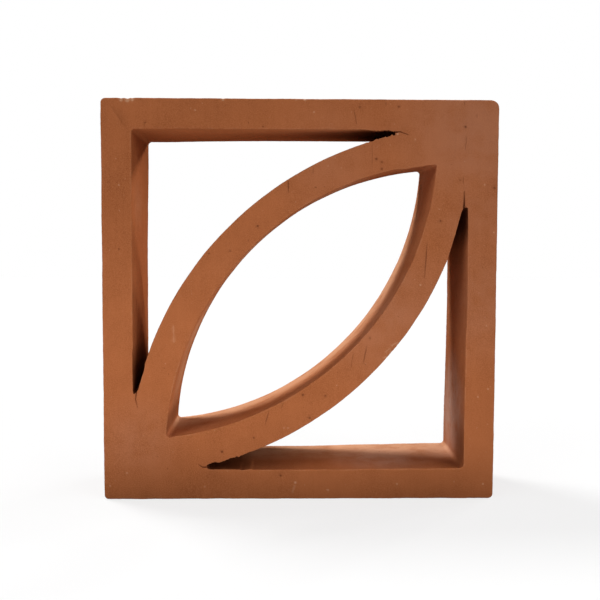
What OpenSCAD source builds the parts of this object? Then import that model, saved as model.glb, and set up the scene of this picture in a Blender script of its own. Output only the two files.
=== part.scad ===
// Clay screen block: a frame with two bowed ribs across it. The ribs leave a leaf-shaped
// opening between them, and an opening with three corners behind each of them.
// The clay is pressed through a die and cut off with a wire, so the section is the same
// all the way through and every opening is square to the two cut faces.
// Millimetres. X runs across the front, Y runs through the block and Z is up.
// The front looks along -Y, and the block stands on Z = 0.

/* [Block] */
// Width across the front
block_w = 290; // [270:1:320]
// Height
block_h = 295; // [270:1:320]
// Depth between the two cut faces
block_d = 80; // [40:1:150]
// Thickness of the frame around the openings
frame_t = 22; // [16:0.5:26]
// Radius of the four outer corners
corner_r = 3.5; // [1:0.5:10]

/* [Ribs and leaf] */
// Thickness of each rib at its middle
rib_t = 22.5; // [16:0.5:26]
// Clear width of the leaf at its middle
leaf_w = 106.5; // [90:0.5:112]
// Distance of each tip of the leaf from the two nearest sides of the block
tip_inset = 46; // [42:0.5:54]
// How far the outer curve of a rib sinks into the frame where the two merge
rib_lap = 3; // [0.5:0.1:5]

/* [Small radii] */
// Radius in the square corner of each corner opening
inner_r = 3; // [1:0.5:8]
// Radius in the two tips of the leaf
tip_r = 2.5; // [0.5:0.5:6]
// Radius in the two narrow ends of each corner opening
wedge_r = 1.8; // [0.5:0.1:3]

/* [Hidden] */
$fn = 128;
fired_clay = [0.65, 0.39, 0.24];

// The section is drawn about the middle of the block, with these half sizes inside the frame
hollow_x = block_w / 2 - frame_t;
hollow_y = block_h / 2 - frame_t;

// Leaf: two like arcs that meet in its tips, each bowed by half the width of the leaf
tip = [block_w / 2 - tip_inset, block_h / 2 - tip_inset];
along = tip / norm(tip);
across = [along[1], -along[0]];
leaf_bow = leaf_w / 2;
leaf_r = (norm(tip) ^ 2 + leaf_bow ^ 2) / (2 * leaf_bow);
leaf_centre = across * (leaf_r - leaf_bow);

// Round in each tip: a circle that touches both arcs from inside, and where it touches them
tip_round = along * sqrt((leaf_r - tip_r) ^ 2 - norm(leaf_centre) ^ 2);
tip_touch = norm(tip_round) * leaf_r / (leaf_r - tip_r);

// Outer curve of the upper left rib: the circle that sinks by rib_lap into the left and top
// of the frame and passes the middle of the block at the outside of the rib
sunk_x = hollow_x + rib_lap;
sunk_y = hollow_y + rib_lap;
rib_out = leaf_bow + rib_t;
rib_sum = sunk_x + sunk_y - rib_out;
rib_r = rib_sum + sqrt(rib_sum ^ 2 - sunk_x ^ 2 - sunk_y ^ 2 + rib_out ^ 2);
rib_centre = [rib_r - sunk_x, sunk_y - rib_r];

// Blunt ends of the upper left opening: circles that touch the frame and the rib
wedge_reach = sqrt((rib_r + wedge_r) ^ 2 - (rib_r - rib_lap - wedge_r) ^ 2);
left_end = [wedge_r - hollow_x, rib_centre[1] + wedge_reach];
top_end = [rib_centre[0] - wedge_reach, hollow_y - wedge_r];

module rounded_rectangle(size, radius) {
    square([size[0] - 2 * radius, size[1]], center = true);
    square([size[0], size[1] - 2 * radius], center = true);
    for (sx = [-1, 1], sy = [-1, 1])
        translate([sx * (size[0] / 2 - radius), sy * (size[1] / 2 - radius)])
            circle(radius);
}

module leaf_opening() {
    intersection() {
        translate(leaf_centre) circle(leaf_r);
        translate(-leaf_centre) circle(leaf_r);
        rotate(atan2(along[1], along[0]))
            square([2 * tip_touch, leaf_w + frame_t], center = true);
    }
    for (side = [-1, 1])
        translate(side * tip_round) circle(tip_r);
}

// Upper left opening: the hollow above the rib, as far as its two blunt ends
module corner_opening() {
    intersection() {
        difference() {
            rounded_rectangle([2 * hollow_x, 2 * hollow_y], inner_r);
            translate(rib_centre) circle(rib_r);
        }
        polygon([
            [-block_w / 2, left_end[1]],
            left_end,
            rib_centre,
            top_end,
            [top_end[0], block_h / 2],
            [-block_w / 2, block_h / 2],
        ]);
    }
    for (end = [left_end, top_end])
        translate(end) circle(wedge_r);
}

module section() {
    difference() {
        rounded_rectangle([block_w, block_h], corner_r);
        leaf_opening();
        for (turn = [0, 180])
            rotate(turn) corner_opening();
    }
}

module clay_block() {
    color(fired_clay)
        translate([0, 0, block_h / 2])
            rotate([90, 0, 0])
                linear_extrude(block_d, center = true)
                    section();
}

clay_block();
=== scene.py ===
"""Looks of a fired clay screen block: wire-cut faces, die-drawn walls, worn edges, cracks and light."""

import math

import bpy
import numpy as np
from mathutils import Matrix, Vector
from mathutils.geometry import delaunay_2d_cdt


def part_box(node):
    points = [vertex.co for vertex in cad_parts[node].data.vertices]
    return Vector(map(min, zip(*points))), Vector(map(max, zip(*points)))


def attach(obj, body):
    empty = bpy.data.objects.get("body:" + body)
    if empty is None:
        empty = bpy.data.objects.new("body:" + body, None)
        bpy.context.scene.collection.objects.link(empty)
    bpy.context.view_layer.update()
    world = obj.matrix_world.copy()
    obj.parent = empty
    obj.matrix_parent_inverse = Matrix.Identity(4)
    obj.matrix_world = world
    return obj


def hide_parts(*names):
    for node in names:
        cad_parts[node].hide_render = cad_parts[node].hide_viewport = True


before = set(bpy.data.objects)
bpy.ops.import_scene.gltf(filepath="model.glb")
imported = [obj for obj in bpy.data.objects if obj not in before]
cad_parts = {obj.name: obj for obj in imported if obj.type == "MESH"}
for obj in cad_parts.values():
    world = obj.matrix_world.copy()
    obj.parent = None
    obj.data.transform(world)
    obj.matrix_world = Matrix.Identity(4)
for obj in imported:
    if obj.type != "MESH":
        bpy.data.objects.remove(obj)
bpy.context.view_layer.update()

MM = 0.001

# The section's sizes, as the solid has them
block_low, block_high = (np.array(corner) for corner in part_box("clay_block"))
BLOCK_W, BLOCK_D, BLOCK_H = block_high - block_low
HALF = np.array((BLOCK_W, BLOCK_H)) / 2
FRAME_T = 22 * MM
RIB_T = 22.5 * MM
LEAF_W = 106.5 * MM
TIP_INSET = 46 * MM
RIB_LAP = 3 * MM
INNER_R = 3 * MM
TIP_R = 2.5 * MM
WEDGE_R = 1.8 * MM
# The outer corners' radii as the photograph shows them, from the lower right one counter-clockwise
CORNER_RS = np.array((3.5, 6, 3.5, 3)) * MM

# How fine the mesh is: along the outlines, through the depth and across the cut faces
LOOP_STEP = 1.7 * MM
LOOP_FINE = 0.45 * MM
WALL_STEP = 9 * MM
FACE_STEP = 2.4 * MM
MARK_STEP = 0.45 * MM
SUPPORT = 0.6 * MM
# Steps of an arc's points, of an outline's points before they are spread and of its points on tight bends,
# the radius below which a bend is tight, and the least number of points on an arc
ARC_STEP = 0.2 * MM
DENSE_STEP = 0.4 * MM
BEND_STEP = 0.7 * MM
BEND_R = 6 * MM
ARC_LEAST = 8
# How far round a torn edge an outline is fine, and over how many times that or a chip's reach it turns coarse
TORN_REACH = 3 * MM
FINE_BLEND = 1.6
# How far round a line, a pit and a speck the cut faces are fine, as a multiple of its width or radius, and
# the length of a path that stands for one place
LINE_ROOM = 2
PIT_ROOM = 1.8
SPECK_ROOM = 1.6
SPOT_RUN = 0.01 * MM
# How far the cut faces' points are shaken, as a share of their step
FACE_SHAKE = 0.2
SHAKE_SEED = 3
# Lengths and products of lengths that count as none, how near points of a cut face become one, and the
# kind of triangulation that leaves out what is outside the outlines
TOUCH = 1e-9
TOUCH_AREA = 1e-12
MERGE = 1e-7
KEEP_INSIDE = 1

# The rounding of the arrises, the share of it that torn edges have, the least and the most share of it,
# the turns of the rings round it, and which of a wall's first and last rings wear makes paler
ARRIS = 0.6 * MM
ARRIS_TORN = 0.45
ARRIS_LIMITS = (0.5, 2)
ARRIS_TURNS = np.radians((0, 30, 60, 90))
WORN_FRONT = (1, 2, 3)
WORN_BACK = (2, 3, 4)
# How pale the wear is at most, and its level before its ripples
ARRIS_WEAR = 0.09
WORN_LEVEL = 0.4
# Unevenness that the wire, the die and wear leave, in layers: height, wavelength in millimetres, seed
FACE_WAVE = 0.12 * MM
FRONT_UNEVEN = ((FACE_WAVE, 60, 21), (0.4 * FACE_WAVE, 14, 31))
BACK_UNEVEN = ((FACE_WAVE, 60, 22), (0.4 * FACE_WAVE, 14, 32))
WALL_UNEVEN = ((0.05 * MM, 45, 51), (0.035 * MM, 3.5, 52))
WALL_SWAY = ((0.05 * MM, 30, 53),)
ARRIS_UNEVEN = ((0.35, 18, 31), (0.25, 5, 32))
ARRIS_WORN = ((0.5, 14, 33), (0.4, 3, 34))
# How far from a cut face its relief has faded out
RELIEF_DEEP = 4 * MM

# A pit's depth for its radius, and its darkness, painted shade in the pit
PIT_DEEP = 0.7
PIT_SHADE = 0.65
# A scratch's darkness, painted shade in its groove, for each millimetre of its depth, and at most
SCRATCH_SHADE = 1.6
SCRATCH_DARKEST = 0.85
# The share of a scratch and of the fold at either end where it no longer grows weaker
SCRATCH_END = 0.04
FOLD_END = 0.03
# How much narrower and shallower a crack is at its end
CRACK_NARROWS = 0.6
CRACK_SHALLOWS = 0.5
# A speck's paleness, and how far it spreads for its radius
SPECK_PALE = 0.75
SPECK_SPREAD = 1.25
# A chip's paleness, and how far it goes inwards and backwards for its depth
CHIP_PALE = 0.7
CHIP_SLANT = 0.7
# How fast the painted shade in the narrow ends thins toward the open end of its path
END_SHADE_THINS = 1.8
# Marks of the back: how many pits, their radii, how many scratches, how they lean, their lengths, width
# and depth
BACK_SEED = 5
BACK_PITS = 60
BACK_PIT_R = (0.5, 0.9)
BACK_SCRATCHES = 40
BACK_LEAN = (-0.2, 0.1)
BACK_RUN = (4, 22)
BACK_WIDTH = 0.45 * MM
BACK_DEPTH = 0.3 * MM

# How near an outline a torn edge's ends are, the share of its length that eases into the outline, between
# which shares it turns from its first side to its second, how far apart its teeth are, and the depth that
# stands for an edge that isn't torn
EDGE_NEAR = 3 * MM
EDGE_EASE = 0.08
EDGE_TURN = (0.45, 0.55)
TOOTH = 1.6 * MM
TOOTH_SEED = 61
PLAIN_REACH = 1 * MM

# Painted light on the back of the walls that look up, where the lamp from high behind falls: its share, the
# depths where it begins and where it is full, and how far up a wall has to look for all of it
UP_WALL_LIGHT = 0.6
UP_WALL_LIGHT_FROM = 28 * MM
UP_WALL_LIGHT_FULL = 66 * MM
UP_WALL_LIGHT_UP = 0.35

# The camera that fits the block's edges in the photograph, and the photograph's size
PHOTO_PX = 600
SENSOR_MM = 36
LENS_MM = 54.46
CAMERA_AT = np.array((-14.4, -706.5, 191.3)) * MM
CAMERA_YAW = math.radians(1.23)
CAMERA_PITCH = math.radians(3.66)
CAMERA_ROLL = math.radians(0.19)

# Marks on the front, placed by pixels of the photograph; widths, radii and depths are in millimetres
# Drying cracks that run out of the narrow ends, painted dark for the shade in them: path, width, depth
CRACKS = (
    (((395, 132.2), (400.5, 131.7), (404, 133), (408.5, 134.8)), 0.8, 1.6),
    (((464.2, 208), (464.4, 203), (464.5, 191.5)), 0.9, 2.0),
    (((136.4, 392), (135.5, 399.5), (137.6, 408)), 0.7, 1.2),
    (((208, 467.3), (202.5, 467.4), (198.5, 464.8)), 0.8, 1.6),
)
# Lines that grit drew as the wire went through: path, width, depth
SCRATCHES = (
    (((288.3, 178.5), (288.4, 192.5)), 0.55, 0.5),
    (((354, 109.6), (357, 125.2)), 0.4, 0.35),
    (((386, 101.5), (386, 105.5)), 0.4, 0.3),
    (((372.3, 141), (372.3, 168)), 0.4, 0.2),
    (((313, 168), (313, 174)), 0.4, 0.25),
    (((466.6, 136), (465.4, 150)), 0.4, 0.35),
    (((464.7, 101.5), (464.7, 105.5)), 0.4, 0.3),
    (((477, 114), (477, 118)), 0.4, 0.25),
    (((463.4, 176.5), (463.3, 184)), 0.4, 0.3),
    (((427.2, 242.5), (426, 262), (424.6, 278)), 0.5, 0.5),
    (((367, 346), (363.2, 364)), 0.5, 0.45),
    (((269, 411), (265, 425)), 0.5, 0.45),
    (((353.5, 353), (350.5, 370)), 0.4, 0.3),
    (((284, 401), (281, 410)), 0.4, 0.3),
)
# Pits where grit or a bubble came out: place, radius
PITS = (
    (257.7, 226, 0.8), (230, 251, 0.6), (219, 238, 0.6), (209, 253.5, 0.6), (118.8, 249, 0.6),
    (145, 122.5, 0.6), (263, 126.8, 0.6), (360, 107, 0.6), (399, 106.6, 0.7), (465.8, 126.8, 0.8),
    (495, 188, 0.7), (376.6, 159, 0.9), (382, 162, 0.6), (382, 169, 0.8), (440.8, 221, 0.7),
    (370, 338, 0.6), (303, 395, 0.9), (309.6, 418, 0.8), (254, 438, 0.7), (222, 452, 0.9),
    (280.5, 476, 0.8), (460.2, 180, 0.5), (325.5, 396, 0.6),
)
# Pale specks of lime and dust: place, radius
SPECKS = (
    (195, 110, 0.7), (118.8, 185, 0.7), (484.7, 184.7, 0.8), (420.5, 285, 0.9), (284, 428, 0.7),
    (288, 428, 0.7), (295.3, 482.6, 1.2), (127, 473, 0.7), (110, 486, 0.7), (397, 484, 0.7),
    (328, 490, 0.7), (483, 484, 0.8), (488, 389, 0.7), (478, 397, 0.7), (397.8, 134, 0.9),
    (314, 112, 0.7), (415.3, 139.2, 0.6), (493.8, 232.4, 0.6),
)
# Pale rubbed streaks: path, width, paleness
SMEARS = (
    (((173.5, 326), (173.8, 342)), 0.8, 0.28),
    (((294.5, 486), (292.5, 492)), 1.4, 0.22),
    (((392, 345.4), (396, 343)), 0.7, 0.7),
    (((386, 351.4), (389.6, 348.8)), 0.7, 0.6),
    (((384, 357.8), (386, 356.4)), 0.6, 0.5),
)
# Stretches of the front edge that the wire tore or squared off: how deep that reaches, how ragged its first
# and its second side are, and the edge as it runs in the photograph, clockwise round its opening
FRONT_EDGES = (
    (30, (0.2, 0.28), (
        (366, 130), (375.7, 130.9), (381, 131), (386.4, 130.2), (390.1, 130.4), (392.7, 131.1),
        (395.2, 131.4), (395.6, 133.2), (395.2, 135.1), (393.8, 135.4), (392, 134.7), (390.5, 135.9),
        (387.6, 136.6), (384.6, 136.7), (383.5, 137.9), (380.2, 138), (378.7, 139.2), (376.6, 138.9),
        (375, 140), (370.5, 141.4), (364, 143.3),
    )),
    (24, (0.08, 0.08), (
        (146.5, 364), (144, 371.5), (141.3, 380), (138.4, 390.2), (137.4, 391.2), (135.4, 393.8),
        (133.2, 394.3), (132.7, 391), (132.4, 380), (132.3, 368), (132.3, 345),
    )),
    (30, (0.04, 0.24), (
        (253, 470.2), (241, 470.4), (239.4, 469.7), (225, 469.7), (210.5, 469.6), (208.4, 469.2),
        (207, 468), (206.8, 465.6), (208, 464.4), (210.5, 463.4), (213.5, 462.6), (216.2, 462.2),
        (217.6, 462.7), (219.4, 462.5), (222.7, 461.6), (226.4, 460.1), (230.5, 458.4), (232, 458.7),
        (233.8, 457.6), (235, 457.9), (236.4, 456.6), (238.7, 457.2), (240.1, 456.4), (243.1, 455.1),
        (247, 453.6),
    )),
    (36, (0.04, 0.04), (
        (441, 275), (447, 261.8), (449, 255.5), (454.8, 236.2), (458.3, 224), (461.4, 212.6),
        (463.2, 208.4), (464, 207.5), (467.4, 207.4), (468.2, 208.2), (468.3, 216), (468.3, 232),
        (468.1, 260), (467.6, 300), (466.4, 345),
    )),
    (25, (0.0, 0.0), (
        (396, 170.2), (408, 168.4), (416, 167.1), (423.6, 166.4), (425.6, 165.6), (431.9, 164.9),
        (435.6, 164.9), (436.8, 165.8), (436.5, 169.8), (435.6, 177), (434.4, 186.4), (432, 200),
        (428.6, 218),
    )),
)
# Front edges that stand further into an opening: place, reach, the way the edge looks, how far it moves
# and how deep that goes
SWELLS = (
    ((290, 396), 150, (-0.7, 0.7), 1.5, 45),
)
# How squarely an edge has to look that way where the swell begins and where it is full
SWELL_FACING = (0.72, 0.78)
# Shallow hollows in the front, a little darker than the rest: place, radius, depth, darkness
DENTS = (
    (283, 474.5, 5, 0.25, 0.08), (246, 120, 6, 0.2, 0.05),
)
# The fold where the clay of the top and of the left side knit: path, reach to its right, depth, and darkness,
# which is painted shade of its sunk side
FOLD = (((109, 103.5), (118, 117), (127, 131)), 9, 0.3, 0.2)
# Inner corners that close in toward the back: place, reach, and how far they move at the front and back
CLOSED_CORNERS = (
    ((131, 130), 100, (0, 0), (1.3, -1.3)),
    ((463, 468), 130, (-0.4, 0.75), (-1.5, 2.2)),
)
# Painted shade in the narrow ends of the openings and along the lower opening's bottom wall: path from the
# end inwards, how far the shade reaches from it, darkness
END_SHADE = (
    (((394, 133), (348, 135)), 16, 0.62),
    (((134.5, 392), (135, 345)), 14, 0.7),
    (((208.5, 467), (275, 463)), 18, 0.9),
    (((208.5, 467), (345, 462)), 18, 0.55),
    (((466, 209), (463, 250)), 16, 0.8),
    (((165, 430), (170, 408)), 5, 0.4),
)
# Spots on the walls: pale dust, with painted light that lifts the leaf's walls; grey dust; and painted shade
# at the lower front of the right wall and near the leaf's lower tip: millimetres across from the middle, back
# from the front and up from the middle, reach, share
PALE_DUST_AND_LIGHT = (
    (-2, 66, -125, 16, 0.5), (-123, 30, 72, 30, 0.12),
    (-70, 30, -90, 45, 0.14), (0, 25, -66, 60, 0.14), (60, 25, -10, 60, 0.14), (94, 30, 48, 50, 0.1),
    (-90, 45, -60, 42, 0.36), (-80, 40, -25, 50, 0.4), (-42, 40, 36, 60, 0.38), (25, 40, 80, 50, 0.34),
)
GREY_DUST = (
    (120, 52, -88, 62, 1.0), (66, 38, -125, 58, 0.5),
)
SHADE_SPOTS = (
    (123, 8, -112, 36, 0.45), (-85, 42, -99, 36, 0.3),
)
# Places a little darker all through the depth, and places that the fire left ashy: place on the front, reach,
# share
DARKER_PLACES = (
    (115, 190, 120, 0.08), (200, 112, 70, 0.06), (440, 488, 80, 0.08), (484, 400, 60, 0.05),
)
ASH = (
    (478, 132, 85, 0.18), (484, 210, 60, 0.1), (140, 440, 45, 0.1),
    (385, 310, 75, 0.14), (484, 300, 70, 0.12), (330, 160, 60, 0.08),
)
# Bits broken out of the front arris: place, reach, depth, and the way into the clay across and up
CHIPS = (
    (121, 99, 2.5, 0.9, (0, -1)), (127, 99, 3.2, 1.1, (0, -1)), (132, 99, 2.2, 0.7, (0, -1)),
    (223, 99, 1.8, 0.7, (0, -1)), (305, 99.5, 1.6, 0.6, (0, -1)),
    (397, 343.5, 1.4, 0.5, (-0.7, 0.7)), (391, 351.5, 1.4, 0.5, (-0.7, 0.7)),
    (386.5, 357.5, 1.2, 0.5, (-0.7, 0.7)),
)


def camera_axes():
    """Right, up and forward of the camera in the block's frame."""
    forward = np.array((
        math.sin(CAMERA_YAW) * math.cos(CAMERA_PITCH),
        math.cos(CAMERA_YAW) * math.cos(CAMERA_PITCH),
        -math.sin(CAMERA_PITCH),
    ))
    level = np.array((math.cos(CAMERA_YAW), -math.sin(CAMERA_YAW), 0))
    lift = np.cross(level, forward)
    right = math.cos(CAMERA_ROLL) * level + math.sin(CAMERA_ROLL) * lift
    up = math.cos(CAMERA_ROLL) * lift - math.sin(CAMERA_ROLL) * level
    return right, up, forward


def on_front(pixels):
    """Places on the front face, from the middle of the block, that pixels of the photograph show."""
    right, up, forward = camera_axes()
    focus = LENS_MM / SENSOR_MM * PHOTO_PX
    across, down = (np.asarray(pixels, float).reshape(-1, 2) - PHOTO_PX / 2).T / focus
    ray = forward + np.outer(across, right) - np.outer(down, up)
    reach = (-BLOCK_D / 2 - CAMERA_AT[1]) / ray[:, 1]
    hit = CAMERA_AT + reach[:, None] * ray
    return hit[:, (0, 2)] - (0, BLOCK_H / 2)


def spot(u, v):
    """The place on the front face that one pixel of the photograph shows."""
    return on_front((u, v))[0]


def ripple(points, wavelength, seed, waves=24):
    """Smooth seeded unevenness, mostly between -1 and 1, with swells about a wavelength apart."""
    rng = np.random.default_rng(seed)
    turns = rng.normal(size=(waves, points.shape[1]))
    turns /= np.linalg.norm(turns, axis=1)[:, None]
    turns *= 2 * np.pi / wavelength * rng.uniform(0.6, 1.4, size=(waves, 1))
    return np.cos(points @ turns.T + rng.uniform(0, 2 * np.pi, waves)).sum(axis=1) / math.sqrt(waves)


def uneven(points, layers):
    """The sum of ripples, each given as its height, wavelength in millimetres and seed."""
    return sum(height * ripple(points, length * MM, seed) for height, length, seed in layers)


def fade(distance, reach):
    """1 at no distance, falling smoothly to 0 at the reach."""
    near = np.clip(1 - distance / reach, 0, 1)
    return near * near * (3 - 2 * near)


def away_from(points, place):
    """Distance of each point from a place."""
    return np.linalg.norm(points - place, axis=1)


def path_distance(points, path):
    """Distance of each point from a path, and how far along it, from 0 to 1, the nearest place is."""
    steps = np.linalg.norm(np.diff(path, axis=0), axis=1)
    ends = np.concatenate(((0,), np.cumsum(steps))) / steps.sum()
    distance = np.full(len(points), np.inf)
    place = np.zeros(len(points))
    for first, last, start, end in zip(path[:-1], path[1:], ends[:-1], ends[1:]):
        run = last - first
        share = np.clip((points - first) @ run / (run @ run), 0, 1)
        away = np.linalg.norm(points - first - np.outer(share, run), axis=1)
        nearer = away < distance
        distance[nearer] = away[nearer]
        place[nearer] = start + share[nearer] * (end - start)
    return distance, place


# Outlines of the section

def arc(centre, radius, first, last, clockwise=True):
    """Close points on an arc from one direction to another."""
    start, end = (math.atan2(way[1], way[0]) for way in (first, last))
    if clockwise and end > start:
        end -= 2 * math.pi
    if not clockwise and end < start:
        end += 2 * math.pi
    count = max(int(abs(end - start) * radius / ARC_STEP), ARC_LEAST)
    turn = np.linspace(start, end, count)
    return centre + radius * np.column_stack((np.cos(turn), np.sin(turn)))


def outer_outline():
    """Outside of the frame, counter-clockwise seen from the front."""
    corners = ((1, -1), (1, 1), (-1, 1), (-1, -1))
    starts = ((0, -1), (1, 0), (0, 1), (-1, 0))
    ends = ((1, 0), (0, 1), (-1, 0), (0, -1))
    arcs = [arc((HALF - radius) * corner, radius, first, last, clockwise=False)
            for radius, corner, first, last in zip(CORNER_RS, corners, starts, ends)]
    return np.vstack(arcs)


def leaf_outline():
    """The leaf: two arcs with rounded tips, clockwise seen from the front."""
    tip = HALF - TIP_INSET
    along = tip / np.linalg.norm(tip)
    bow = LEAF_W / 2
    radius = (tip @ tip + bow * bow) / (2 * bow)
    centre = np.array((along[1], -along[0])) * (radius - bow)
    rounding = along * math.sqrt((radius - TIP_R) ** 2 - centre @ centre)
    return np.vstack((
        arc(centre, radius, -rounding - centre, rounding - centre),
        arc(rounding, TIP_R, rounding - centre, rounding + centre),
        arc(-centre, radius, rounding + centre, centre - rounding),
        arc(-rounding, TIP_R, centre - rounding, -rounding - centre),
    ))


def corner_outline():
    """The upper left opening, between the frame and the rib, clockwise seen from the front."""
    hollow = HALF - FRAME_T
    sunk = hollow + RIB_LAP
    rib_out = LEAF_W / 2 + RIB_T
    half_sum = sunk.sum() - rib_out
    radius = half_sum + math.sqrt(half_sum ** 2 - sunk @ sunk + rib_out ** 2)
    centre = np.array((radius - sunk[0], sunk[1] - radius))
    reach = math.sqrt((radius + WEDGE_R) ** 2 - (radius - RIB_LAP - WEDGE_R) ** 2)
    left_end = np.array((WEDGE_R - hollow[0], centre[1] + reach))
    top_end = np.array((centre[0] - reach, hollow[1] - WEDGE_R))
    corner = np.array((INNER_R - hollow[0], hollow[1] - INNER_R))
    return np.vstack((
        arc(left_end, WEDGE_R, centre - left_end, (-1, 0)),
        arc(corner, INNER_R, (-1, 0), (0, 1)),
        arc(top_end, WEDGE_R, (0, 1), centre - top_end),
        arc(centre, radius, top_end - centre, left_end - centre, clockwise=False),
    ))


def fine_places():
    """Places where the mesh is fine, each with its reach: torn edges and chips."""
    places = [(spot(u, v), reach * MM) for u, v, reach, _, _ in CHIPS]
    places += [(place, TORN_REACH) for _, _, path in FRONT_EDGES for place in on_front(path)]
    return places


def loop_step(points):
    """Wanted distance between the points of an outline: fine at marks and on tight bends."""
    step = np.full(len(points), LOOP_STEP)
    for place, reach in fine_places():
        near = fade(away_from(points, place), FINE_BLEND * reach)
        step = np.minimum(step, LOOP_STEP + (LOOP_FINE - LOOP_STEP) * near)
    before, after = np.roll(points, 1, axis=0), np.roll(points, -1, axis=0)
    turn = np.abs(np.cross(points - before, after - points))
    run = np.linalg.norm(points - before, axis=1) * np.linalg.norm(after - points, axis=1)
    span = np.linalg.norm(after - before, axis=1) / 2
    bend = turn / np.maximum(run, TOUCH_AREA) / np.maximum(span, TOUCH)
    return np.where(bend > 1 / BEND_R, np.minimum(step, BEND_STEP), step)


def spread(points):
    """The outline again, with its points spread as far apart as loop_step says."""
    closed = np.vstack((points, points[:1]))
    run = np.linalg.norm(np.diff(closed, axis=0), axis=1)
    keep = np.concatenate((run > TOUCH, (True,)))
    closed = closed[keep]
    dense = [np.linspace(a, b, max(int(np.linalg.norm(b - a) / DENSE_STEP), 1), endpoint=False)
             for a, b in zip(closed[:-1], closed[1:])]
    dense = np.vstack(dense)
    step = loop_step(dense)
    ring = np.vstack((dense, dense[:1]))
    run = np.linalg.norm(np.diff(ring, axis=0), axis=1)
    count = np.concatenate(((0,), np.cumsum(run / step)))
    wanted = np.linspace(0, count[-1], int(round(count[-1])), endpoint=False)
    return np.column_stack([np.interp(wanted, count, ring[:, axis]) for axis in (0, 1)])


def outward(loop, reach=2):
    """Unit normals of an outline, pointing from the clay into the air, each taken over a few points."""
    run = np.roll(loop, -reach, axis=0) - np.roll(loop, reach, axis=0)
    normal = np.column_stack((run[:, 1], -run[:, 0]))
    return normal / np.linalg.norm(normal, axis=1)[:, None]


# Relief and stains of the two cut faces

def random_marks(seed):
    """Pits and scratches for the face that the photograph doesn't show."""
    rng = np.random.default_rng(seed)
    places = rng.uniform(-HALF, HALF, size=(BACK_PITS, 2))
    radii = rng.uniform(*BACK_PIT_R, BACK_PITS) * MM
    scratches = []
    for start in rng.uniform(-HALF, HALF, size=(BACK_SCRATCHES, 2)):
        lean = rng.uniform(*BACK_LEAN)
        run = np.array((lean, 1)) * rng.uniform(*BACK_RUN) * MM
        scratches.append((np.array((start, start + run)), BACK_WIDTH, BACK_DEPTH))
    return list(zip(places, radii)), scratches


FRONT_CRACKS = [(on_front(path), width * MM, depth * MM) for path, width, depth in CRACKS]
FRONT_CUTS = (
    [(spot(u, v), radius * MM) for u, v, radius in PITS],
    [(on_front(path), width * MM, depth * MM) for path, width, depth in SCRATCHES],
)
BACK_CUTS = random_marks(BACK_SEED)


def cut_marks(points, pits, scratches):
    """Height and darkness of the pits and scratches at places on a cut face; the darkness is painted shade in
    them.
    """
    height, dark = np.zeros((2, len(points)))
    for place, radius in pits:
        dip = np.exp(-(away_from(points, place) / radius) ** 2)
        height -= PIT_DEEP * radius * dip
        dark = np.maximum(dark, PIT_SHADE * dip)
    for path, width, depth in scratches:
        distance, along = path_distance(points, path)
        ends = np.sqrt(np.sin(np.pi * np.clip(along, SCRATCH_END, 1 - SCRATCH_END)))
        cut = fade(distance, width) * ends
        height -= depth * cut
        dark = np.maximum(dark, min(SCRATCH_SHADE * depth / MM, SCRATCH_DARKEST) * cut)
    return height, dark


def front_hollows(points):
    """Height and darkness of the cracks, dents and fold at places on the front; the cracks' and the fold's
    darkness is painted shade.
    """
    height, dark = np.zeros((2, len(points)))
    for path, width, depth in FRONT_CRACKS:
        distance, along = path_distance(points, path)
        cut = fade(distance, width * (1 - CRACK_NARROWS * along)) * (1 - CRACK_SHALLOWS * along)
        height -= depth * cut
        # The crack's darkness is painted shade in it
        dark = np.maximum(dark, cut)
    for u, v, radius, depth, shade in DENTS:
        dip = fade(away_from(points, spot(u, v)), radius * MM)
        height -= depth * MM * dip
        dark = np.maximum(dark, shade * dip)
    # The fold's darkness is painted shade beside its line
    pixels, reach, depth, shade = FOLD
    dip = fold(points, on_front(pixels), reach * MM)
    return height - depth * MM * dip, np.maximum(dark, shade * dip)


def front_paleness(points):
    """How pale specks and smears make the front at each place."""
    pale = np.zeros(len(points))
    for u, v, radius in SPECKS:
        away = away_from(points, spot(u, v))
        pale = np.maximum(pale, SPECK_PALE * fade(away, SPECK_SPREAD * radius * MM))
    for path, width, share in SMEARS:
        distance = path_distance(points, on_front(path))[0]
        pale = np.maximum(pale, share * fade(distance, width * MM))
    return pale


def face_marks(points, front):
    """Height, paleness and darkness of the marks at places on the front or the back; much of the darkness is
    painted shade in pits, scratches, cracks and the fold.
    """
    height, dark = cut_marks(points, *(FRONT_CUTS if front else BACK_CUTS))
    if not front:
        return height, np.zeros(len(points)), dark
    hollow, darker = front_hollows(points)
    return height + hollow, front_paleness(points), np.maximum(dark, darker)


def fold(points, path, reach):
    """How far into a fold each place is: 1 just right of its line, fading over the reach, 0 left of it."""
    distance, along = path_distance(points, path)
    run = path[-1] - path[0]
    right = np.cross(run, points - path[0]) > 0
    return right * fade(distance, reach) * np.sin(np.pi * np.clip(along, FOLD_END, 1 - FOLD_END))


def inside_walls(points):
    """1 on the walls of the openings, and 0 on the two cut faces and on the outside."""
    opening = (np.abs(points[:, (0, 2)]) < HALF - FRAME_T / 2).all(axis=1)
    return opening * (1 - fade(BLOCK_D / 2 - np.abs(points[:, 1]), MM))


def wall_spot_share(points, spots):
    """How strong the spots of one list are on the walls at each place; the lists hold dust, painted light and
    painted shade.
    """
    wall_tint = np.zeros(len(points))
    for across, back, up, reach, share in spots:
        place = np.array((across * MM, back * MM - BLOCK_D / 2, up * MM))
        wall_tint = np.maximum(wall_tint, share * fade(away_from(points, place), reach * MM))
    return wall_tint * inside_walls(points)


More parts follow.
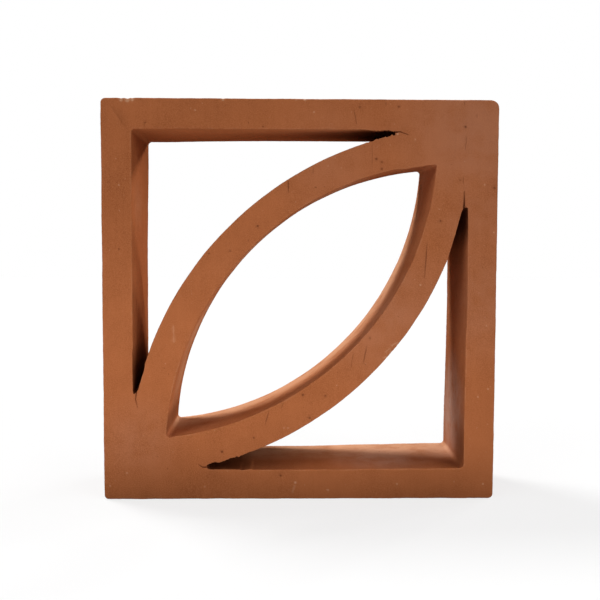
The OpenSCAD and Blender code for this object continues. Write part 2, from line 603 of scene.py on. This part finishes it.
def end_shade_share(points):
    """How dark the painted shade in the narrow ends of the openings is at each place."""
    shaded = np.zeros(len(points))
    for path, reach, share in END_SHADE:
        away, along = path_distance(points[:, (0, 2)], on_front(path))
        thin = np.minimum(END_SHADE_THINS * (1 - along), 1)
        shaded = np.maximum(shaded, share * thin * fade(away, reach * MM))
    return shaded * inside_walls(points)


def tone_change_share(points, spots):
    """How far the clay's tone changes at each place, all through its depth."""
    changed = np.zeros(len(points))
    for u, v, reach, share in spots:
        away = away_from(points[:, (0, 2)], spot(u, v))
        changed = np.maximum(changed, share * fade(away, reach * MM))
    return changed


def ash_share(points):
    """How ashy the fire and grey dust left the clay at each place."""
    return np.maximum(wall_spot_share(points, GREY_DUST), tone_change_share(points, ASH))


def spot_path(place):
    """A path so short that it stands for one place."""
    return place[None] + ((0, 0), (0, SPOT_RUN))


def mark_paths(front):
    """The marks of a cut face as paths, each with how far round it the face needs close points."""
    pits, scratches = FRONT_CUTS if front else BACK_CUTS
    paths = [(path, LINE_ROOM * width) for path, width, _ in scratches]
    paths += [(spot_path(place), PIT_ROOM * radius) for place, radius in pits]
    if not front:
        return paths
    paths += [(path, LINE_ROOM * width) for path, width, _ in FRONT_CRACKS]
    paths += [(on_front(path), width * MM) for path, width, _ in SMEARS]
    paths.append((on_front(FOLD[0]), MM))
    paths += [(spot_path(spot(u, v)), SPECK_ROOM * radius * MM) for u, v, radius in SPECKS]
    paths += [(spot_path(spot(u, v)), reach * MM) for u, v, reach, _, _ in CHIPS]
    return paths


def mark_points(front):
    """Extra points for the cut face, close together round each mark."""
    found = []
    for path, reach in mark_paths(front):
        low, high = path.min(axis=0) - reach, path.max(axis=0) + reach
        across = np.arange(low[0], high[0], MARK_STEP)
        upward = np.arange(low[1], high[1], MARK_STEP)
        grid = np.array(np.meshgrid(across, upward)).reshape(2, -1).T
        found.append(grid[path_distance(grid, path)[0] < reach])
    return np.vstack(found)


def face_points(front):
    """Points inside the cut face: an even, slightly shaken grid, and close ones at the marks."""
    across = np.arange(-HALF[0], HALF[0], FACE_STEP)
    rows = np.arange(-HALF[1], HALF[1], FACE_STEP * math.sqrt(0.75))
    grid = [np.column_stack((across + (i % 2) * FACE_STEP / 2, np.full(len(across), z)))
            for i, z in enumerate(rows)]
    grid = np.vstack(grid)
    shake = np.random.default_rng(SHAKE_SEED).uniform(-FACE_SHAKE, FACE_SHAKE, grid.shape)
    return np.vstack((grid + shake * FACE_STEP, mark_points(front)))


# The mesh

def edge_rings(arris):
    """Inset and depth of the rings that go round one arris, from the face to the wall."""
    none = np.zeros_like(arris)
    rings = [(arris + SUPPORT, none)]
    for turn in ARRIS_TURNS:
        rings.append((arris * (1 - np.sin(turn)), arris * (1 - np.cos(turn))))
    rings.append((none, arris + SUPPORT))
    return rings


def length_share(points):
    """How far along a row of points each one is, from 0 to 1."""
    run = np.concatenate(((0,), np.cumsum(np.linalg.norm(np.diff(points, axis=0), axis=1))))
    return run / run[-1]


def torn_edge(path, share, rags):
    """Places at shares of a torn edge's length, with its teeth."""
    places = np.column_stack([np.interp(share, length_share(path), path[:, axis]) for axis in (0, 1)])
    rag = MM * np.interp(share, EDGE_TURN, rags)
    return places + outward(places) * (rag * ripple(places, TOOTH, TOOTH_SEED))[:, None]


def front_shift(loop):
    """How far each point of an outline moves at the front to follow the torn edges, and how deep that
    reaches."""
    shift = np.zeros_like(loop)
    reach = np.full(len(loop), PLAIN_REACH)
    for depth, rags, pixels in FRONT_EDGES:
        path = on_front(pixels)
        away = [away_from(loop, end) for end in (path[0], path[-1])]
        if max(distance.min() for distance in away) > EDGE_NEAR:
            continue
        first, last = (distance.argmin() for distance in away)
        ids = (first + np.arange((last - first) % len(loop) + 1)) % len(loop)
        share = length_share(loop[ids])
        ease = np.clip(np.minimum(share, 1 - share) / EDGE_EASE, 0, 1)
        shift[ids] = (torn_edge(path, share, rags) - loop[ids]) * ease[:, None]
        reach[ids] = depth * MM
    return shift, reach


def corner_shift(loop, depth):
    """How far the points of an opening's ring move where its inner corner closes in."""
    shift = np.zeros_like(loop)
    share = depth / BLOCK_D
    for pixel, reach, front, back in CLOSED_CORNERS:
        near = fade(away_from(loop, spot(*pixel)), reach * MM)
        shift += MM * (np.outer(near * (1 - share), front) + np.outer(near * share, back))
    return shift


def edge_swell(loop, normal, depth):
    """How far out the points of a ring stand where its front edge is fuller than drawn."""
    out = np.zeros(len(loop))
    least, full = SWELL_FACING
    for pixel, reach, way, most, deep in SWELLS:
        facing = np.clip((normal @ np.array(way) - least) / (full - least), 0, 1)
        near = fade(away_from(loop, spot(*pixel)), reach * MM)
        out += most * MM * facing * near * fade(depth, deep * MM)
    return out


def wall_rings(loop, torn):
    """Inset, depth and wear of every ring of a wall, from the front face to the back face."""
    arris = ARRIS * np.clip(1 + uneven(loop, ARRIS_UNEVEN), *ARRIS_LIMITS)
    worn = ARRIS_WEAR * np.clip(WORN_LEVEL + uneven(loop, ARRIS_WORN), 0, 1)
    front = edge_rings(np.where(torn, ARRIS_TORN * arris, arris))
    back = [(inset, BLOCK_D - depth) for inset, depth in reversed(edge_rings(arris))]
    first, last = front[-1][1].max(), BLOCK_D - front[-1][1].max()
    rows = np.linspace(first, last, int((last - first) / WALL_STEP) + 2)[1:-1]
    none = np.zeros(len(loop))
    walls = [(none, np.full(len(loop), depth), none) for depth in rows]
    front = [(inset, depth, worn * (i in WORN_FRONT)) for i, (inset, depth) in enumerate(front)]
    back = [(inset, depth, worn * (i in WORN_BACK)) for i, (inset, depth) in enumerate(back)]
    return front + walls + back


def wall_points(loop, opening):
    """All points of the wall that an outline makes, as an array of rings, points and x, y, z, and how pale
    wear and the painted light on walls that look up make them."""
    shift, reach = front_shift(loop)
    normal = outward(loop + shift)
    level = opening * np.clip(normal[:, 1] / UP_WALL_LIGHT_UP, 0, 1)
    swell = uneven(loop, WALL_UNEVEN)
    rings, wear_and_light = [], []
    for inset, depth, worn in wall_rings(loop, reach > PLAIN_REACH):
        sway = uneven(np.column_stack((loop, depth)), WALL_SWAY)
        place = loop + shift * fade(depth, reach)[:, None] + normal * (swell + sway - inset)[:, None]
        place += opening * (corner_shift(loop, depth) + normal * edge_swell(loop, normal, depth)[:, None])
        rings.append(np.column_stack((place[:, 0], depth - BLOCK_D / 2, place[:, 1])))
        # Painted light toward the back of the walls that look up
        wall_tint = UP_WALL_LIGHT * level * np.clip((depth - UP_WALL_LIGHT_FROM) / (UP_WALL_LIGHT_FULL - UP_WALL_LIGHT_FROM), 0, 1)
        wear_and_light.append(np.maximum(worn, wall_tint))
    return np.array(rings), np.array(wear_and_light)


def wall_faces(start, rings, count):
    """Quads between the rings of one wall, whose points start at that number."""
    here = start + np.arange(rings * count).reshape(rings, count)
    there = np.roll(here, -1, axis=1)
    quads = np.stack((here[:-1], here[1:], there[1:], there[:-1]), axis=-1)
    return quads.reshape(-1, 4).tolist()


def cut_face(rims, front, start):
    """Triangles of a cut face between the rims of the walls: its own points, and faces by point number.
    Each rim is its points and their numbers, and the face's own points are numbered from start."""
    flat = [points for points, _ in rims]
    numbers = np.concatenate([ids for _, ids in rims])
    inside = face_points(front)
    edges = np.cumsum([0] + [len(points) for points in flat])
    loops = [list(range(a, b)) for a, b in zip(edges[:-1], edges[1:])]
    loops = loops[:1] + [loop[::-1] for loop in loops[1:]]
    places = [Vector(p) for p in np.vstack(flat + [inside])]
    made, _, faces, sources, _, owners = delaunay_2d_cdt(places, [], loops, KEEP_INSIDE, MERGE)
    kept = [face for face, owner in zip(faces, owners) if owner == [0]]
    used = sorted({i for face in kept for i in face})
    own = []
    name = {}
    for i in used:
        if sources[i] and sources[i][0] < edges[-1]:
            name[i] = int(numbers[sources[i][0]])
        else:
            name[i] = start + len(own)
            own.append(made[i])
    triangles = [[name[i] for i in face] for face in kept]
    if not front:
        triangles = [face[::-1] for face in triangles]
    return np.array(own), triangles


def block_mesh():
    """Points and faces of the whole block before its relief, and how pale wear and painted light make the
    points.
    """
    outlines = [outer_outline(), leaf_outline(), corner_outline(), -corner_outline()]
    points, faces, pale = [], [], []
    front_rims, back_rims = [], []
    total = 0
    for i, outline in enumerate(outlines):
        wall, wear_and_light = wall_points(spread(outline), opening=i > 0)
        pale.append(wear_and_light.ravel())
        rings, count = wall.shape[:2]
        points.append(wall.reshape(-1, 3))
        faces += wall_faces(total, rings, count)
        ids = total + np.arange(rings * count).reshape(rings, count)
        front_rims.append((wall[0][:, (0, 2)], ids[0]))
        back_rims.append((wall[-1][:, (0, 2)], ids[-1]))
        total += rings * count
    for rims, front in ((front_rims, True), (back_rims, False)):
        own, triangles = cut_face(rims, front, total)
        y = -BLOCK_D / 2 if front else BLOCK_D / 2
        points.append(np.column_stack((own[:, 0], np.full(len(own), y), own[:, 1])))
        faces += triangles
        pale.append(np.zeros(len(own)))
        total += len(own)
    return np.vstack(points), faces, np.concatenate(pale)


def chip_away(points):
    """Moves the points where bits broke out of the front arris, and gives how pale that leaves them."""
    pale = np.zeros(len(points))
    for u, v, reach, depth, (across, up) in CHIPS:
        place = spot(u, v)
        edge = np.array((place[0], -BLOCK_D / 2, min(place[1], BLOCK_H / 2)))
        bite = fade(away_from(points, edge), reach * MM)
        points += np.outer(bite * depth * MM, CHIP_SLANT * np.array((across, 1, up)))
        pale = np.maximum(pale, CHIP_PALE * bite)
    return pale


def add_relief(points, pale):
    """Moves the points by the relief of the cut faces, and gives their paleness and darkness."""
    flat = points[:, (0, 2)]
    dark = np.zeros(len(points))
    for front, side in ((True, -1), (False, 1)):
        depth = BLOCK_D / 2 - side * points[:, 1]
        near = np.flatnonzero(depth < RELIEF_DEEP)
        share = fade(depth[near], RELIEF_DEEP)
        height, whiter, darker = face_marks(flat[near], front)
        wave = uneven(flat[near], FRONT_UNEVEN if front else BACK_UNEVEN)
        points[near, 1] += side * share * (height + wave - FACE_WAVE)
        pale[near] = np.maximum(pale[near], share * whiter)
        dark[near] = np.maximum(dark[near], share * darker)
    pale = np.maximum(pale, chip_away(points))
    # Painted shade in the narrow ends and in spots on the walls, and the darker places
    for shade in (end_shade_share(points), wall_spot_share(points, SHADE_SPOTS), tone_change_share(points, DARKER_PLACES)):
        dark = np.maximum(dark, shade)
    # Pale dust on the walls, with painted light on the leaf's walls
    return np.maximum(pale, wall_spot_share(points, PALE_DUST_AND_LIGHT)), dark


def clay_block():
    """The block's piece: one mesh with its relief, and where it is pale, dark or ashy as attributes; pale
    holds painted light and dark holds painted shade among the rest.
    """
    points, faces, wear_and_light = block_mesh()
    pale, dark = add_relief(points, wear_and_light)
    mesh = bpy.data.meshes.new("clay_screen_block")
    mesh.from_pydata((points + (0, 0, BLOCK_H / 2)).tolist(), [], faces)
    for name, values in (("pale", pale), ("dark", dark), ("ash", ash_share(points))):
        mesh.attributes.new(name, "FLOAT", "POINT").data.foreach_set("value", values.astype(np.float32))
    mesh.shade_smooth()
    piece = bpy.data.objects.new("clay_screen_block", mesh)
    bpy.context.collection.objects.link(piece)
    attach(piece, "root")
    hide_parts("clay_block")
    return piece


# Materials

# Colours of the clay in screen values from 0 to 255
CLAY_DEEP = (150, 84, 48)
CLAY_LIGHT = (174, 101, 61)
CLAY_GRAIN = (180, 109, 68)
ASH_COLOUR = (184, 146, 128)
# The pale colour of dust, wear, specks and chips, also of the painted light on the walls
DUST_AND_LIGHT_COLOUR = (216, 168, 132)
# The colour of the painted shade in pits, scratches, cracks, the fold and the narrow ends, and of the darker
# places
SHADE_AND_DARK_COLOUR = (62, 22, 11)
# The clay's noises: lumps in a metre, detail, roughness
NOISES = {
    "drift": (9, 2, 0.5),
    "cloud": (60, 5, 0.6),
    "grain": (1300, 3, 0.6),
    "flecks": (420, 1, 0.5),
}
# Noises drawn out into pits and lines: lumps in a metre across, back and up, tilt in degrees, detail and
# roughness
DRAWN_NOISES = {
    "pits": ((380, 380, 240), 0, 1, 0.5),
    "wire": ((420, 60, 16), 6, 3, 0.6),
    "die": ((420, 7, 420), 0, 3, 0.6),
}
# How far a face looks to the front or back where the die's lines end and where only the wire's are left
CUT_RANGE = (0.6, 0.9)
# How much of each noise is in the clay's tone and in its fine relief
TONE_WEIGHTS = {"drift": 0.45, "cloud": 0.4, "lines": 0.15}
RELIEF_WEIGHTS = {"grain": 0.35, "lines": 0.65}
# Between which values a noise takes a colour from none to all of its share
TONE_RANGE = (0.38, 0.62)
GRAIN_RANGE = (0.35, 0.7)
ASH_RANGE = (0.15, 0.55)
PALE_RANGE = (0.12, 0.55)
SPOT_RANGE = (0.75, 0.82)
# The share of pale flecks, and of painted shade in small pits
FLECK_SHARE = 0.25
PIT_SHARE = 0.5
# The fine relief's strength and height, and how rough the clay is at least and at most
BUMP_STRENGTH = 0.5
BUMP_HEIGHT = 0.2 * MM
ROUGH_RANGE = (0.74, 0.9)
# The table: how light it is for the light that falls and for the shadow that is seen, and its glow
TABLE_GREY = (0.12, 0.12, 0.12, 1)
SHADOW_GREY = (0.16, 0.16, 0.16, 1)
TABLE_GLOW = 0.75
WHITE = (1, 1, 1, 1)


def linear(red, green, blue):
    """A colour given in screen values from 0 to 255, as the linear colour that shaders take."""
    parts = [value / 255 for value in (red, green, blue)]
    return tuple(p / 12.92 if p <= 0.04045 else ((p + 0.055) / 1.055) ** 2.4 for p in parts) + (1.0,)


def bare_tree(owner):
    """The empty node tree of a material or a world."""
    owner.use_nodes = True
    owner.node_tree.nodes.clear()
    return owner.node_tree


def add_node(tree, kind, inputs=None, **settings):
    """A new node with its settings, and its inputs set to values or linked to sockets."""
    made = tree.nodes.new(kind)
    for name, value in settings.items():
        setattr(made, name, value)
    for name, value in (inputs or {}).items():
        if isinstance(value, bpy.types.NodeSocket):
            tree.links.new(value, made.inputs[name])
        else:
            made.inputs[name].default_value = value
    return made


def math_node(tree, operation, first, second=0.0):
    """The result of a sum, product or the like of two values."""
    return add_node(tree, "ShaderNodeMath", {0: first, 1: second}, operation=operation).outputs[0]


def sum_node(tree, layers, weights):
    """The sum of some layers, each times its weight."""
    total = 0.0
    for name, weight in weights.items():
        inputs = {0: layers[name], 1: weight, 2: total}
        total = add_node(tree, "ShaderNodeMath", inputs, operation="MULTIPLY_ADD").outputs[0]
    return total


def ramp_node(tree, value, low, high):
    """The value stretched so that low becomes 0 and high becomes 1."""
    made = add_node(tree, "ShaderNodeMapRange", {"Value": value, "From Min": low, "From Max": high})
    return made.outputs["Result"]


def mix_node(tree, share, first, second):
    """A colour between two others."""
    made = add_node(tree, "ShaderNodeMix", {0: share, 6: first, 7: second}, data_type="RGBA")
    return made.outputs[2]


def noise_node(tree, place, scale, detail, roughness):
    """Noise from 0 to 1 at a place."""
    inputs = {"Vector": place, "Scale": scale, "Detail": detail, "Roughness": roughness}
    return add_node(tree, "ShaderNodeTexNoise", inputs).outputs["Fac"]


def stretched(tree, place, scale, tilt):
    """The place drawn out along its axes, for lines."""
    inputs = {"Vector": place, "Scale": scale, "Rotation": (0, math.radians(tilt), 0)}
    return add_node(tree, "ShaderNodeMapping", inputs).outputs["Vector"]


def stain(tree, name):
    """How strong a stain that the mesh carries is at each place."""
    return add_node(tree, "ShaderNodeAttribute", attribute_name=name).outputs["Fac"]


def clay_layers(tree):
    """The noises that the clay's colour and fine relief are made of, by name."""
    space = add_node(tree, "ShaderNodeTexCoord")
    place = space.outputs["Object"]
    layers = {name: noise_node(tree, place, *values) for name, values in NOISES.items()}
    for name, (scale, tilt, detail, roughness) in DRAWN_NOISES.items():
        layers[name] = noise_node(tree, stretched(tree, place, scale, tilt), 1.0, detail, roughness)
    facing = add_node(tree, "ShaderNodeSeparateXYZ", {0: space.outputs["Normal"]}).outputs
    cut = ramp_node(tree, math_node(tree, "ABSOLUTE", facing["Y"]), *CUT_RANGE)
    lines = add_node(tree, "ShaderNodeMix", {0: cut, 2: layers["die"], 3: layers["wire"]})
    layers["lines"] = lines.outputs[0]
    return layers


def clay_colour(tree, layers):
    """The colour of mottled clay, with ash, pale dust and painted light, and darker places and painted shade
    of pits, cracks and narrow ends over it.
    """
    cloud = layers["cloud"]
    tone = ramp_node(tree, sum_node(tree, layers, TONE_WEIGHTS), *TONE_RANGE)
    colour = mix_node(tree, tone, linear(*CLAY_DEEP), linear(*CLAY_LIGHT))
    colour = mix_node(tree, ramp_node(tree, layers["grain"], *GRAIN_RANGE), colour, linear(*CLAY_GRAIN))
    ash = math_node(tree, "MULTIPLY", stain(tree, "ash"), ramp_node(tree, cloud, *ASH_RANGE))
    colour = mix_node(tree, ash, colour, linear(*ASH_COLOUR))
    # Pale dust, wear and painted light
    pale = math_node(tree, "MULTIPLY", stain(tree, "pale"), ramp_node(tree, cloud, *PALE_RANGE))
    flecks = math_node(tree, "MULTIPLY", ramp_node(tree, layers["flecks"], *SPOT_RANGE), FLECK_SHARE)
    colour = mix_node(tree, math_node(tree, "MAXIMUM", pale, flecks), colour, linear(*DUST_AND_LIGHT_COLOUR))
    # Small pits painted dark for their shade
    pits = math_node(tree, "MULTIPLY", ramp_node(tree, layers["pits"], *SPOT_RANGE), PIT_SHARE)
    dark = math_node(tree, "MAXIMUM", stain(tree, "dark"), pits)
    return mix_node(tree, dark, colour, linear(*SHADE_AND_DARK_COLOUR))


def clay_material():
    """Unglazed fired clay: mottled, lined by wire and die, with pale dust, painted light and painted shade in
    cracks and pits.
    """
    material = bpy.data.materials.new("fired_clay")
    tree = bare_tree(material)
    layers = clay_layers(tree)
    bump = add_node(tree, "ShaderNodeBump", {
        "Strength": BUMP_STRENGTH,
        "Distance": BUMP_HEIGHT,
        "Height": sum_node(tree, layers, RELIEF_WEIGHTS),
    })
    rough = add_node(tree, "ShaderNodeMapRange", {
        "Value": layers["cloud"],
        "To Min": ROUGH_RANGE[0],
        "To Max": ROUGH_RANGE[1],
    })
    shader = add_node(tree, "ShaderNodeBsdfPrincipled", {
        "Base Color": clay_colour(tree, layers),
        "Roughness": rough.outputs["Result"],
        "Specular IOR Level": 0.0,
        "Normal": bump.outputs["Normal"],
    })
    add_node(tree, "ShaderNodeOutputMaterial", {"Surface": shader.outputs["BSDF"]})
    return material


def seen_ray(tree):
    """1 for rays from the camera and for mirror-like or see-through rays, 0 for the light that falls."""
    path = add_node(tree, "ShaderNodeLightPath").outputs
    seen = math_node(tree, "MAXIMUM", path["Is Camera Ray"], path["Is Glossy Ray"])
    return math_node(tree, "MAXIMUM", seen, path["Is Transmission Ray"])


def seen_mix(tree, lit, seen):
    """One shader for the light that falls and another for what is seen."""
    inputs = {0: seen_ray(tree), 1: lit.outputs[0], 2: seen.outputs[0]}
    return add_node(tree, "ShaderNodeMixShader", inputs).outputs[0]


def floor_material():
    """A white table: it is seen white with a soft shadow, and throws little light back."""
    material = bpy.data.materials.new("white_table")
    tree = bare_tree(material)
    table = add_node(tree, "ShaderNodeBsdfDiffuse", {"Color": TABLE_GREY})
    shadow = add_node(tree, "ShaderNodeBsdfDiffuse", {"Color": SHADOW_GREY})
    glow = add_node(tree, "ShaderNodeEmission", {"Color": WHITE, "Strength": TABLE_GLOW})
    white = add_node(tree, "ShaderNodeAddShader", {0: shadow.outputs[0], 1: glow.outputs[0]})
    add_node(tree, "ShaderNodeOutputMaterial", {"Surface": seen_mix(tree, table, white)})
    return material


# The set

FLOOR_SIZE = 8.0
AMBIENT = 0.03
# Lamps as far off as the sun: where they stand from the block, how wide they look in degrees, and strength,
# where 1 shows a colour that faces the lamp as it is written
LAMPS = {
    "overhead_behind": ((-0.50, 0.44, 1.0), 19, 1.0),
    "right_behind": ((0.80, 0.53, 0.25), 6, 0.27),
    "behind_right": ((0.60, 0.72, 0.34), 6, 0.27),
    "front_right": ((0.60, -0.70, 0.40), 30, 0.28),
    "high_right": ((0.45, 0.0, 0.89), 40, 0.30),
    "front_low": ((0.0, -0.98, 0.21), 40, 0.03),
    "front_left": ((-0.60, -0.60, 0.53), 40, 0.28),
    "left": ((-0.87, 0.05, 0.45), 45, 0.22),
}
# A white card that lies on the table in front of the block and throws light up at it: left and right end,
# distance of its near and far edge from the block, height, and strength on the same scale
CARD_ACROSS = (-0.50, 0.22)
CARD_AWAY = (0.06, 0.30)
CARD_UP = 0.002
CARD_STRENGTH = 1.7


def make_floor():
    """The table that the block stands on."""
    bpy.ops.mesh.primitive_plane_add(size=FLOOR_SIZE)
    floor = bpy.context.object
    floor.name = "floor"
    floor.data.materials.append(floor_material())


def make_world():
    """A room that is seen white and gives a little light from all sides."""
    world = bpy.data.worlds.new("studio")
    bpy.context.scene.world = world
    tree = bare_tree(world)
    white = add_node(tree, "ShaderNodeBackground", {"Color": WHITE, "Strength": 1.0})
    room = add_node(tree, "ShaderNodeBackground", {"Color": WHITE, "Strength": AMBIENT})
    add_node(tree, "ShaderNodeOutputWorld", {"Surface": seen_mix(tree, room, white)})


def make_lamp(name, way, width, strength):
    """A lamp as far off as the sun, which shines at the block."""
    data = bpy.data.lights.new(name, "SUN")
    data.angle = math.radians(width)
    data.energy = math.pi * strength
    lamp = bpy.data.objects.new(name, data)
    lamp.location = way
    lamp.rotation_euler = (-Vector(way)).to_track_quat("-Z", "Y").to_euler()
    bpy.context.collection.objects.link(lamp)


def make_card():
    """The white card on the table, as a lamp that the camera doesn't see."""
    data = bpy.data.lights.new("table_card", "AREA")
    data.shape = "RECTANGLE"
    data.size = CARD_ACROSS[1] - CARD_ACROSS[0]
    data.size_y = CARD_AWAY[1] - CARD_AWAY[0]
    data.energy = math.pi * CARD_STRENGTH * data.size * data.size_y
    card = bpy.data.objects.new("table_card", data)
    card.location = (sum(CARD_ACROSS) / 2, block_low[1] - sum(CARD_AWAY) / 2, CARD_UP)
    card.rotation_euler = (math.pi, 0, 0)
    card.visible_camera = False
    bpy.context.collection.objects.link(card)


def make_camera():
    """The camera that took the photograph."""
    data = bpy.data.cameras.new("photo_camera")
    data.lens = LENS_MM
    data.sensor_width = SENSOR_MM
    camera = bpy.data.objects.new("photo_camera", data)
    right, up, forward = camera_axes()
    turn = Matrix((right, up, -forward)).transposed()
    camera.matrix_world = Matrix.Translation(CAMERA_AT) @ turn.to_4x4()
    bpy.context.collection.objects.link(camera)
    bpy.context.scene.camera = camera


make_camera()
block = clay_block()
block.data.materials.append(clay_material())
make_floor()
make_world()
for lamp_name, (lamp_way, lamp_width, lamp_strength) in LAMPS.items():
    make_lamp(lamp_name, lamp_way, lamp_width, lamp_strength)
make_card()
bpy.context.scene.view_settings.view_transform = "Standard"
